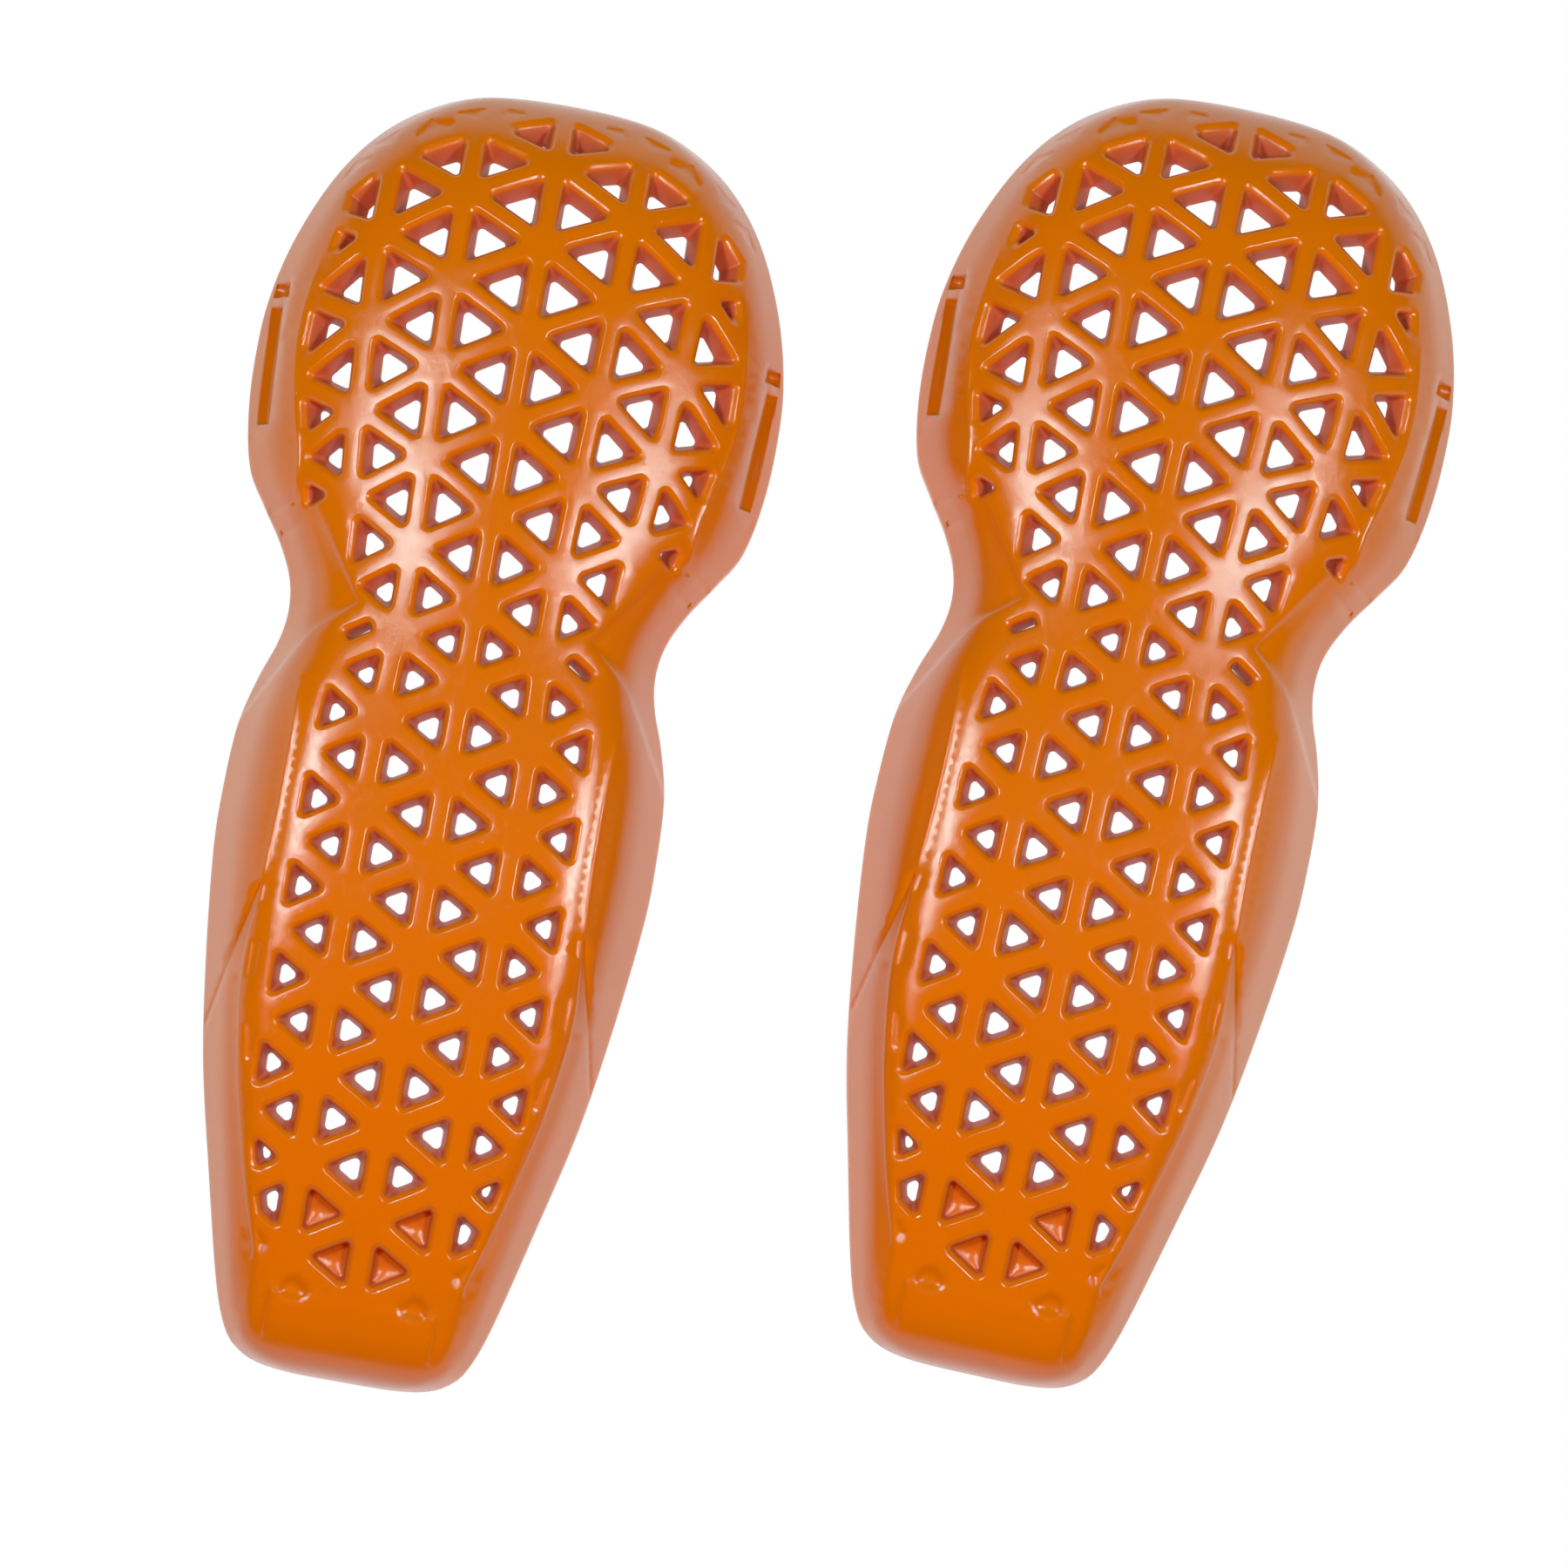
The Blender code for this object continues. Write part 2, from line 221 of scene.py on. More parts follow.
VENT_RUNS = [(0, 1, 0.5, 12.5), (0, -1, 1.0, 12.0), (1, 1, 0.0, 12.0),
             (1, -1, 0.5, 5.5), (1, -1, 7.5, 11.5), (2, 1, 8.5, 11.5), (2, -1, 8.0, 11.0)]
POCKET_RUNS = [(0, -1, 0.0, 0.0), (0, 1, -0.5, -0.5)]
SLOT_CENTRE = (34.3, -5.3)
SLOT_HALF = (3.9, 1.35)
SLOT_SLOPE = math.radians(-31.0)

field_curve = smooth_curve(FIELD_EDGE, 1.0)


def field_edge(y):
    return np.interp(y, field_curve[:, 1], field_curve[:, 0])


def row_heights():
    """Heights of the rows, equally spaced along the surface of the dome."""
    rows = {r: SHIN_ROW_0 + SHIN_PITCH * r for r in range(-1, WAIST_ROW + 1)}
    y = rows[WAIST_ROW] + WAIST_PITCH
    rows[WAIST_ROW + 1] = y
    for r in range(WAIST_ROW + 2, TOP_ROW + 1):
        travelled = 0.0
        while travelled < CUP_PITCH and y < PAD_TOP - 1.0:
            travelled += math.hypot(0.1, float(axis_height(y + 0.1) - axis_height(y)))
            y += 0.1
        rows[r] = y
    return rows


rows = row_heights()


def crossing(column, row):
    """A strut crossing: whole rows on even columns, half rows on odd ones."""
    y = float(np.interp(row, sorted(rows), [rows[r] for r in sorted(rows)]))
    spread = float(np.interp(y, SPREAD_AT, SPREAD))
    x = COLUMN * spread * (column - COLUMN_CROWDING * column * (column - 1))
    return np.array((x, y - DROOP * float(smoothstep(y, 0.0, DROOP_FULL_AT)) * x ** 3))


def cut_by_line(corners, point, outward):
    """Keep the part of a convex shape that lies behind a line."""
    kept = []
    for a, b in zip(corners, corners[1:] + corners[:1]):
        room_a, room_b = float((point - a) @ outward), float((point - b) @ outward)
        if room_a >= 0.0:
            kept.append(a)
        if (room_a > 0.0) != (room_b > 0.0):
            kept.append(a + (b - a) * room_a / (room_a - room_b))
    return kept


def merge_short_sides(corners, shortest):
    """Melt every side that is too short to be rounded into one corner."""
    merged = True
    while merged and len(corners) > 3:
        merged = False
        for i in range(len(corners)):
            a, b = corners[i], corners[(i + 1) % len(corners)]
            if np.linalg.norm(b - a) < shortest:
                rest = [c for k, c in enumerate(corners) if k not in (i, (i + 1) % len(corners))]
                at = i if i + 1 < len(corners) else len(rest)
                corners = rest[:at] + [(a + b) / 2.0] + rest[at:]
                merged = True
                break
    return corners


def field_line(y, margin):
    """A straight piece of the field's edge near a height, drawn in by a margin."""
    along = np.array((float(field_edge(y + 4.0) - field_edge(y - 4.0)), 8.0))
    along /= np.linalg.norm(along)
    outward = np.array((along[1], -along[0]))
    return np.array((float(field_edge(y)), y)) - margin * outward, outward


def anticlockwise(corners):
    area = sum(a[0] * b[1] - a[1] * b[0] for a, b in zip(corners, corners[1:] + corners[:1]))
    return corners if area > 0.0 else corners[::-1]


def cell(column, side, row):
    """The corners of a lattice cell whose apex points out (+1) or in (-1)."""
    base, apex = (column, column + 1) if side > 0 else (column + 1, column)
    return [crossing(base, row - 0.5), crossing(base, row + 0.5), crossing(apex, row)]


def wall_of(corners):
    """Half a strut is left between a cell's side and the vent's wall."""
    middle = sum(corners) / len(corners)
    strut = SHIN_STRUT + (CUP_STRUT - SHIN_STRUT) * float(smoothstep(middle[1], -20.0, 50.0))
    return inset_corners(corners, strut)


def vent_walls():
    """The top edge of the wall of every vent in one half of a pad."""
    walls = []
    for column, side, first, last in VENT_RUNS:
        for k in range(round(last - first) + 1):
            corners = wall_of(anticlockwise(cell(column, side, first + k)))
            middle = sum(corners) / len(corners)
            margin = CUP_EDGE_MARGIN if middle[1] > 0.0 else SHIN_EDGE_MARGIN
            corners = cut_by_line(corners, *field_line(float(middle[1]), margin))
            walls.append(merge_short_sides(corners, SHORTEST_SIDE))
    return walls


def slot_wall():
    along = np.array((math.cos(SLOT_SLOPE), math.sin(SLOT_SLOPE)))
    across = np.array((-along[1], along[0]))
    signs = [(-1, -1), (1, -1), (1, 1), (-1, 1)]
    return [np.array(SLOT_CENTRE) + a * SLOT_HALF[0] * along + c * SLOT_HALF[1] * across
            for a, c in signs]


def inset_corners(corners, inset):
    """Move every side of a convex cell inwards, and give back the new corners."""
    count = len(corners)
    moved = []
    for i in range(count):
        a, b, c = corners[i - 1], corners[i], corners[(i + 1) % count]
        u, w = (b - a) / np.linalg.norm(b - a), (c - b) / np.linalg.norm(c - b)
        left_u, left_w = np.array((-u[1], u[0])), np.array((-w[1], w[0]))
        matrix = np.array([left_u, left_w])
        goal = np.array([left_u @ b + inset, left_w @ b + inset])
        moved.append(np.linalg.solve(matrix, goal))
    return moved


def inner_radius(corners):
    """Distance from a cell's middle to its nearest side."""
    middle = sum(corners) / len(corners)
    reach = []
    for a, b in zip(corners, corners[1:] + corners[:1]):
        side = (b - a) / np.linalg.norm(b - a)
        reach.append(abs(side[0] * (middle - a)[1] - side[1] * (middle - a)[0]))
    return min(reach)


def rounded(corners, radius, side_steps, arc_steps):
    """A loop round a convex shape with the same number of points on every side and corner."""
    count = len(corners)
    loop = []
    for i in range(count):
        a, b, c = corners[i - 1], corners[i], corners[(i + 1) % count]
        u, w = (b - a) / np.linalg.norm(b - a), (c - b) / np.linalg.norm(c - b)
        turn = math.acos(max(-1.0, min(1.0, float(u @ w))))
        reach = 0.46 * min(np.linalg.norm(b - a), np.linalg.norm(c - b))
        r = min(radius, reach / math.tan(turn / 2.0))
        start = b - u * r * math.tan(turn / 2.0)
        centre = start + r * np.array((-u[1], u[0]))
        for k in range(arc_steps + 1):
            angle = turn * k / arc_steps
            arm = start - centre
            spin = np.array([[math.cos(angle), -math.sin(angle)], [math.sin(angle), math.cos(angle)]])
            loop.append(centre + spin @ arm)
        following = corners[(i + 2) % count] - c
        next_turn = math.acos(max(-1.0, min(1.0, float(w @ following / np.linalg.norm(following)))))
        reach = 0.46 * min(np.linalg.norm(c - b), np.linalg.norm(following))
        next_r = min(radius, reach / math.tan(next_turn / 2.0))
        end = c - w * next_r * math.tan(next_turn / 2.0)
        for k in range(1, side_steps):
            loop.append(loop[-1 - (k - 1)] + (end - loop[-1 - (k - 1)]) * k / side_steps)
    return np.array(loop)


def vent_loops(wall):
    """The mouth, the top of the wall and the back opening of one vent, point for point."""
    taper = min(BACK_TAPER, 0.42 * inner_radius(wall))
    side_steps = max(3, round(max(np.linalg.norm(b - a) for a, b in zip(wall, wall[1:])) / 1.6))
    shapes = [(inset_corners(wall, -FILLET_WIDTH), MOUTH_RADIUS), (wall, WALL_RADIUS),
              (inset_corners(wall, taper), BACK_RADIUS)]
    return [rounded(shape, radius, side_steps, 5) for shape, radius in shapes]


half_vents = [vent_loops(wall) for wall in vent_walls() + [slot_wall()]]
half_pockets = [vent_loops(wall_of(anticlockwise(cell(column, side, first))))
                for column, side, first, _ in POCKET_RUNS]


def both_sides(loops):
    """Add the mirror image of each group of loops, turned the same way round."""
    return loops + [[(loop * MIRROR)[::-1] for loop in group] for group in loops]


vents = both_sides(half_vents)
pockets = both_sides(half_pockets)
print("vents in a pad", len(vents), "blind pockets", len(pockets))

# %% [markdown]
# ## Creases and shallow marks
# The field of vents stands a little proud of the wings, the waist has a thinner notch on each side,
# and there are grooves and shallow marks that help the moulding bend. All of them are small steps
# along the surface normal, so each is a function of the plan that later moves the outer points.
# Lines are also laid along them in the plan, so that mesh edges follow every crease.

# %% Distances to lines and shapes
def segment_distance(x, y, a, b):
    a, b = np.array(a), np.array(b)
    run = b - a
    t = np.clip(((x - a[0]) * run[0] + (y - a[1]) * run[1]) / float(run @ run), 0.0, 1.0)
    return np.hypot(x - a[0] - t * run[0], y - a[1] - t * run[1])


def depth_inside(x, y, corners):
    """Distance from the edge of a shape, positive inside it and negative outside."""
    inside = np.zeros(len(x), bool)
    distance = np.full(len(x), 1e9)
    for a, b in zip(corners, corners[1:] + corners[:1]):
        distance = np.minimum(distance, segment_distance(x, y, a, b))
        crosses = (a[1] > y) != (b[1] > y)
        with np.errstate(divide="ignore", invalid="ignore"):
            at = a[0] + (b[0] - a[0]) * (y - a[1]) / (b[1] - a[1])
        inside ^= crosses & (x < at)
    return np.where(inside, distance, -distance)


square = [(0.0, 0.0), (2.0, 0.0), (2.0, 2.0), (0.0, 2.0)]
print("depth in a 2 mm square", depth_inside(np.array([1.0, 3.0]), np.array([1.0, 1.0]), square))

# %% The marks and their sizes
BEAD_RISE = 0.5
BEAD_HALF = 0.9
BEAD_OUT = 0.9
FIELD_RISE = 1.3
FIELD_STEP = 0.9
NOTCH = [(34.5, 3.0), (53.4, 31.5), (66.0, 42.0), (90.0, 20.0), (80.0, -32.0), (65.0, -35.0),
         (47.8, -7.5)]
NOTCH_DEPTH = 1.5
NOTCH_SLOPE = 1.6
GROOVES = [((60.0, 32.6), (74.5, 26.2)), ((57.5, 25.5), (72.0, 18.6))]
GROOVE_HALF = 1.5
GROOVE_FLAT = 0.7
GROOVE_DEPTH = 0.9
WING_GROOVE = [(50.0, -86.3), (53.1, -101.7), (57.9, -121.6), (59.6, -129.5)]
WING_GROOVE_HALF = 0.8
WING_GROOVE_DEPTH = 1.0
RECESS = [(68.8, 54.0), (77.0, 50.5), (84.0, 52.0), (84.0, 96.0), (78.5, 98.5), (73.5, 97.0)]
RECESS_DEPTH = 1.2
RECESS_EDGE = 0.9
LEDGE_EDGE = 0.4
LEDGES = [((72.4, 54.5), (76.4, 54.5), (78.4, 91.5), (74.6, 91.5), 7.5),
          ((73.4, 94.2), (78.4, 94.2), (78.2, 99.0), (73.8, 99.0), 11.0)]
MARKS = [
    ([(10.5, 162.2), (18.0, 163.2), (20.0, 159.5)], 0.6),
    ([(24.0, 162.5), (35.0, 158.5), (26.0, 157.6)], 0.6),
    ([(32.5, 154.6), (40.6, 156.0), (44.6, 148.2)], 0.8),
    ([(48.6, 152.0), (57.0, 145.4), (50.5, 145.2)], 0.6),
    ([(54.8, 141.6), (60.8, 140.2), (64.5, 132.6)], 0.6),
    ([(46.0, -103.0), (49.4, -103.0), (49.2, -114.6), (46.3, -114.6)], 0.45),
    ([(46.4, -84.5), (48.6, -86.0), (49.0, -92.5), (47.0, -91.0)], 0.45),
    ([(43.6, -129.0), (46.6, -128.0), (45.0, -139.0), (42.6, -141.0)], 0.45),
    ([(28.3, -192.3), (33.4, -187.6), (31.2, -195.0)], 0.45),
    ([(14.1, -204.9), (15.9, -201.7), (19.1, -200.4), (22.0, -202.2), (22.3, -206.2),
      (15.4, -206.7)], 0.7),
]
MARK_EDGE = 0.5
PLATE_HALF = 25.8
PLATE_FROM = -203.0
PLATE_RISE = 0.5
PLATE_STEP = 0.6
PINS = [(45.4, 26.2), (49.4, -24.0)]
PIN_RADIUS = 1.6
PIN_DEPTH = 0.35


def marks_height(x, y):
    """How far the outer surface stands above or below the plain one."""
    x = np.abs(x)
    beyond = x - field_edge(y)
    low = smoothstep(-y, 84.0, 100.0)
    height = -FIELD_RISE * low * smoothstep(beyond, 0.0, FIELD_STEP)
    bead = np.maximum(1.0 - ((beyond - BEAD_OUT) / BEAD_HALF) ** 2, 0.0) ** 2
    beaded = smoothstep(-y, 20.0, 30.0) * (1.0 - smoothstep(-y, 80.0, 88.0))
    beaded = beaded + smoothstep(y, 28.0, 36.0) * (1.0 - smoothstep(y, 96.0, 112.0))
    height += BEAD_RISE * bead * beaded
    fade = 1.0 - smoothstep(y, 20.0, 38.0)
    height -= NOTCH_DEPTH * smoothstep(depth_inside(x, y, NOTCH), 0.0, NOTCH_SLOPE) * fade
    for a, b in GROOVES:
        away = segment_distance(x, y, a, b)
        height -= GROOVE_DEPTH * (1.0 - smoothstep(away, GROOVE_FLAT, GROOVE_HALF))
    wing = np.min([segment_distance(x, y, a, b) for a, b in zip(WING_GROOVE, WING_GROOVE[1:])], axis=0)
    height -= WING_GROOVE_DEPTH * (1.0 - smoothstep(wing, 0.1, WING_GROOVE_HALF))
    height -= RECESS_DEPTH * smoothstep(depth_inside(x, y, RECESS), 0.0, RECESS_EDGE)
    for a, b, c, d, depth in LEDGES:
        share = np.clip((y - a[1]) / (d[1] - a[1]), 0.0, 1.0)
        inner = a[0] + (d[0] - a[0]) * share
        outer = b[0] + (c[0] - b[0]) * share
        across = np.clip((x - inner) / (outer - inner), 0.0, 1.0)
        inside = smoothstep(depth_inside(x, y, [a, b, c, d]), 0.0, LEDGE_EDGE)
        height -= depth * (1.0 - across) * inside
    for corners, depth in MARKS:
        height -= depth * smoothstep(depth_inside(x, y, corners), 0.0, MARK_EDGE)
    plate = smoothstep(PLATE_HALF - x, 0.0, PLATE_STEP) * smoothstep(PLATE_FROM - y, 0.0, 4.0)
    height += PLATE_RISE * plate
    for pin in PINS:
        ring = np.abs(np.hypot(x - pin[0], y - pin[1]) - PIN_RADIUS)
        height += PIN_DEPTH * (1.0 - smoothstep(ring, 0.1, 0.8))
    return height


print("marks", len(MARKS), "depth of a waist notch", marks_height(np.array([64.0]), np.array([5.0])))

# %% [markdown]
# ## The plan sheet
# A sheet full of holes could be cut with a Boolean or filled with triangle_fill, but both leave
# long thin triangles that shade badly once the sheet is curved. Blender's Delaunay fill keeps the
# triangles even, follows every line that it is given, and takes loose points to fill the rest.
# The lines stop short of the rim and of the mouths, whose points must stay as they are given.

# %% Lines and loose points of the plan
RINGS = [0.5, 1.1, 1.8, 2.7, 3.8, 5.0, 6.4, 8.0]
FIXED_RINGS = 6
GRID = 2.1
CLEAR = 1.25
RIM_MARGIN = 0.35
MOUTH_MARGIN = 0.7


def beside(line, offset):
    """A copy of a line, moved sideways."""
    tangent = np.gradient(line, axis=0)
    tangent /= np.linalg.norm(tangent, axis=1)[:, None]
    return line + offset * np.stack([-tangent[:, 1], tangent[:, 0]], axis=1)


def crease_lines():
    """Lines along the creases of one half, which mesh edges will follow."""
    lines = []
    bead = [BEAD_OUT + share * BEAD_HALF for share in (-1.0, -0.5, 0.0, 0.5, 1.0)]
    step = [share * FIELD_STEP for share in (0.0, 0.5, 1.0)]
    for low, high, offsets in ((-196.0, -90.0, step), (-88.0, -22.0, bead), (30.0, 110.0, bead)):
        ys = np.arange(low, high, 1.4)
        for offset in offsets:
            lines.append(np.stack([field_edge(ys) + offset, ys], axis=1))
    arms = [(NOTCH[1], NOTCH[0]), (NOTCH[6], NOTCH[5])]
    for a, b in arms:
        arm = evenly(np.array([a, b]), 1.5)[1:-1]
        lines.extend(beside(arm, offset) for offset in (0.0, 0.8, 1.6))
    arm = evenly(np.array([NOTCH[0], NOTCH[6]]), 1.5)[1:-1]
    lines.extend(beside(arm, offset) for offset in (0.0, 0.8, 1.6))
    wing = evenly(np.array(WING_GROOVE), 1.2)
    offsets = (-WING_GROOVE_HALF, -0.3, 0.3, WING_GROOVE_HALF)
    lines.extend(beside(wing, offset) for offset in offsets)
    for a, b in GROOVES:
        groove = evenly(np.array([a, b]), 1.2)
        offsets = (-GROOVE_HALF, -GROOVE_FLAT, GROOVE_FLAT, GROOVE_HALF)
        lines.extend(beside(groove, offset) for offset in offsets)
    ys = np.arange(PAD_END + 9.0, PLATE_FROM, 1.2)
    for share in (0.0, 0.5, 1.0):
        lines.append(np.stack([np.full(len(ys), PLATE_HALF - share * PLATE_STEP), ys], axis=1))
    return lines


def closed_shape_lines():
    shapes = [([np.array(p) for p in corners], MARK_EDGE) for corners, _ in MARKS]
    shapes.extend(([np.array(p) for p in ledge[:4]], LEDGE_EDGE) for ledge in LEDGES)
    lines = []
    for corners, edge in shapes:
        corners = anticlockwise(corners)
        for inset in (0.0, edge):
            if inset < 0.8 * inner_radius(corners):
                moved = inset_corners(corners, inset)
                closed = np.array(moved + [moved[0]])
                lines.append(np.vstack([evenly(np.array([a, b]), 0.9)[:-1]
                                        for a, b in zip(closed[:-1], closed[1:])]))
    return lines


def outside_mouths(line, mouths):
    """Cut a line into the runs that keep clear of the rim and of every vent's mouth."""
    clear = half_width(line[:, 1]) - np.abs(line[:, 0]) > RIM_MARGIN
    clear &= (line[:, 1] > PAD_END + RIM_MARGIN) & (line[:, 1] < PAD_TOP - RIM_MARGIN)
    for mouth in mouths:
        low, high = mouth.min(axis=0) - 1.0, mouth.max(axis=0) + 1.0
        near = np.nonzero(np.all((line > low) & (line < high), axis=1))[0]
        if len(near):
            clear[near[depth_inside(line[near, 0], line[near, 1], list(mouth)) > -MOUTH_MARGIN]] = False
    cuts = np.nonzero(np.diff(clear.astype(int)))[0] + 1
    return [run for run, good in zip(np.split(line, cuts), np.split(clear, cuts))
            if good[0] and len(run) > 1]


def plan_points():
    """Gather the plan's fixed lines, then fill in between with a triangular grid."""
    points, edges, groups = [], [], []

    def add(line, closed, mirrored=False):
        for sign in ((1.0, -1.0) if mirrored else (1.0,)):
            start = len(points)
            copy = line * np.array((sign, 1.0))
            points.extend(copy)
            edges.extend((start + k, start + k + 1) for k in range(len(line) - 1))
            if closed:
                edges.append((start + len(line) - 1, start))
            groups.append((start, len(line)))

    rim, _ = rim_loop(0.0)
    add(rim, True)
    for loops in vents + pockets:
        add(loops[0], True)
    fixed = len(groups)
    mouths = [loops[0] for loops in vents + pockets]
    for inset in RINGS[:FIXED_RINGS]:
        ring = rim_loop(inset)[0]
        for run in outside_mouths(np.vstack([ring, ring[:1]]), mouths):
            add(run, False)
    for line in closed_shape_lines():
        for run in outside_mouths(np.vstack([line, line[:1]]), mouths):
            add(run, False, True)
    for line in crease_lines():
        for run in outside_mouths(line, mouths):
            add(run, False, True)
    tree = KDTree(len(points))
    for i, p in enumerate(points):
        tree.insert((p[0], p[1], 0.0), i)
    tree.balance()
    loose = [p for inset in RINGS[FIXED_RINGS:] for p in rim_loop(inset)[0]]
    rows_of_grid = np.arange(PAD_END, PAD_TOP, GRID * math.sqrt(3.0) / 2.0)
    for i, y in enumerate(rows_of_grid):
        shift = 0.5 * GRID * (i % 2)
        reach = float(half_width(y)) - RINGS[-1] - 0.6 * GRID
        xs = np.arange(shift, max(reach, 0.0), GRID)
        for x in xs:
            loose.append(np.array((x, y)))
            if x > 0.0:
                loose.append(np.array((-x, y)))
    loose = np.array([p for p in loose if tree.find((p[0], p[1], 0.0))[2] > CLEAR
                      and PAD_END + 1.0 < p[1] < PAD_TOP - 1.0])
    keep = np.ones(len(loose), bool)
    for mouth in mouths:
        low, high = mouth.min(axis=0), mouth.max(axis=0)
        near = np.all((loose > low) & (loose < high), axis=1)
        index = np.nonzero(near)[0]
        if len(index):
            inside = depth_inside(loose[index, 0], loose[index, 1], list(mouth)) > 0.0
            keep[index[inside]] = False
    return np.array(points), edges, groups[:fixed], loose[keep]


fixed_points, fixed_edges, fixed_groups, loose_points = plan_points()
every_point = [Vector(p) for p in fixed_points] + [Vector(p) for p in loose_points]
sheet_points, _, sheet_faces, origins, _, _ = delaunay_2d_cdt(every_point, fixed_edges, [], 1, 1e-5)
print("plan points", len(sheet_points), "faces", len(sheet_faces), "given", len(every_point))

# %% [markdown]
# ## From sheet to skin
# The sheet becomes a mesh whose corners carry two numbers: their place in the plan, and how deep
# they lie between the outer surface and the back. Extruding the whole sheet gives the skin its
# outer side, its back and a wall along every open edge at once. The walls are then cut into bands.

# %% Build the skin in the flat plan
SKIN_CUTS = 9
POCKET_CUTS = 6
sheet_points = np.array([tuple(p) for p in sheet_points])
group_of = np.full(len(sheet_points), -1)
place_in_group = np.zeros(len(sheet_points), int)
fixed_at = {}
for new, old in enumerate(origins):
    for index in old:
        fixed_at[index] = new
for g, (start, count) in enumerate(fixed_groups):
    for k in range(count):
        group_of[fixed_at[start + k]] = g
        place_in_group[fixed_at[start + k]] = k


def holes_at(centres, shapes):
    """Which of the given middles lie inside a shape, and in which one."""
    found = np.full(len(centres), -1)
    for i, shape in enumerate(shapes):
        low, high = shape.min(axis=0), shape.max(axis=0)
        near = np.nonzero(np.all((centres > low) & (centres < high), axis=1))[0]
        if len(near):
            inside = depth_inside(centres[near, 0], centres[near, 1], list(shape)) > 0.0
            found[near[inside]] = i
    return found


def build_skin():
    """Extrude the sheet into a closed skin, with plan number and depth on every point."""
    centres = np.array([sheet_points[list(face)].mean(axis=0) for face in sheet_faces])
    in_vent = holes_at(centres, [loops[0] for loops in vents])
    in_pocket = holes_at(centres, [loops[0] for loops in pockets])
    bm = bmesh.new()
    plan = bm.verts.layers.float.new("plan")
    depth = bm.verts.layers.float.new("depth")
    floor = bm.verts.layers.float.new("floor")
    corners = []
    for i, (x, y) in enumerate(sheet_points):
        vert = bm.verts.new((x, y, 0.0))
        vert[plan] = i
        corners.append(vert)
    pocket_faces = []
    for face, vent, pocket in zip(sheet_faces, in_vent, in_pocket):
        if vent < 0:
            made = bm.faces.new([corners[i] for i in face])
            if pocket >= 0:
                pocket_faces.append(made)
    bmesh.ops.delete(bm, geom=[v for v in bm.verts if not v.link_faces], context="VERTS")

    front = list(bm.faces)
    grown = bmesh.ops.extrude_face_region(bm, geom=front, use_keep_orig=True)["geom"]
    backs = {g for g in grown if isinstance(g, bmesh.types.BMVert)}
    for vert in backs:
        vert[depth] = 1.0
    walls = [e for e in bm.edges if (e.verts[0] in backs) != (e.verts[1] in backs)]
    bmesh.ops.subdivide_edges(bm, edges=walls, cuts=SKIN_CUTS, use_grid_fill=True)

    sunk = bmesh.ops.extrude_face_region(bm, geom=pocket_faces)["geom"]
    floors = {g for g in sunk if isinstance(g, bmesh.types.BMVert)}
    for vert in floors:
        vert[floor] = 1.0
    walls = [e for e in bm.edges if (e.verts[0] in floors) != (e.verts[1] in floors)]
    bmesh.ops.subdivide_edges(bm, edges=walls, cuts=POCKET_CUTS, use_grid_fill=True)
    bmesh.ops.delete(bm, geom=[f for f in pocket_faces if f.is_valid], context="FACES")
    return bm, plan, depth, floor


skin, plan_layer, depth_layer, floor_and_shade_layer = build_skin()
print("skin corners", len(skin.verts), "faces", len(skin.faces))

# %% [markdown]
# ## Profiles of the edges
# Every wall band has a place in a profile. At the rim the profile is a rounding, a flat foot and
# another rounding. In a vent it is a soft fillet, a nearly straight wall and a small rounding at
# the back. A pocket has the same fillet, and a floor.

# %% Move the skin on to the moulded surface
WALL = 8.5
FOOT_END = 6.3
FILLET = [(0.0, 0.0), (0.13, 0.04), (0.29, 0.19), (0.56, 0.62), (0.86, 1.25), (1.0, 1.85)]
RIM_LIP = 0.3
BACK_ROUND = 0.6
POCKET_DEPTH = 4.8
DRAW_LEAN = 0.12
# Painted shade: where the painted darkening starts down a vent's wall, over what depth it grows, and
# how dark a pocket's floor is painted.
WALL_SHADE_FROM = 1.0
WALL_SHADE_OVER = 1.2
POCKET_SHADE = 0.25


def rim_bands():
    """Inset and height at each band of the rim. The first lies on the outer surface."""
    bands = [(0.0, RIM_ROUND)]
    for k in range(5):
        angle = 0.5 * math.pi * k / 4.0
        bands.append((RIM_ROUND * (1.0 - math.cos(angle)), RIM_ROUND * (1.0 - math.sin(angle))))
    radius = WALL - FOOT_END
    for k in range(5):
        angle = 0.5 * math.pi * k / 4.0
        bands.append((FOOT_END + radius * math.sin(angle), radius * (1.0 - math.cos(angle))))
    return bands


def vent_bands():
    """Share of the way to the wall, share of the way to the back, and depth."""
    bands = [(across, 0.0, down) for across, down in FILLET]
    top, bottom = bands[-1][2], WALL - BACK_ROUND
    for share in (0.35, 0.7, 1.0):
        bands.append((1.0, share, top + (bottom - top) * share))
    bands.append((1.0, 1.0 - 0.06, bottom + 0.72 * BACK_ROUND))
    bands.append((1.0, 1.0 - 0.35, WALL))
    return bands


def pocket_bands():
    bands = [(across, 0.0, down) for across, down in FILLET]
    bands.append((1.0, 0.2, POCKET_DEPTH - 0.5))
    bands.append((1.0, 0.4, POCKET_DEPTH))
    return bands


def on_surface(x, y):
    return np.stack([x, y, surface(x, y) + marks_height(x, y)], axis=1)


def wall_direction(normal):
    """Vents and walls lean from the surface's normal towards the way the mould opens."""
    lean = normal * (1.0 - DRAW_LEAN) + np.array((0.0, 0.0, DRAW_LEAN))
    lean /= np.linalg.norm(lean, axis=1)[:, None]
    return lean / np.sum(lean * normal, axis=1)[:, None]


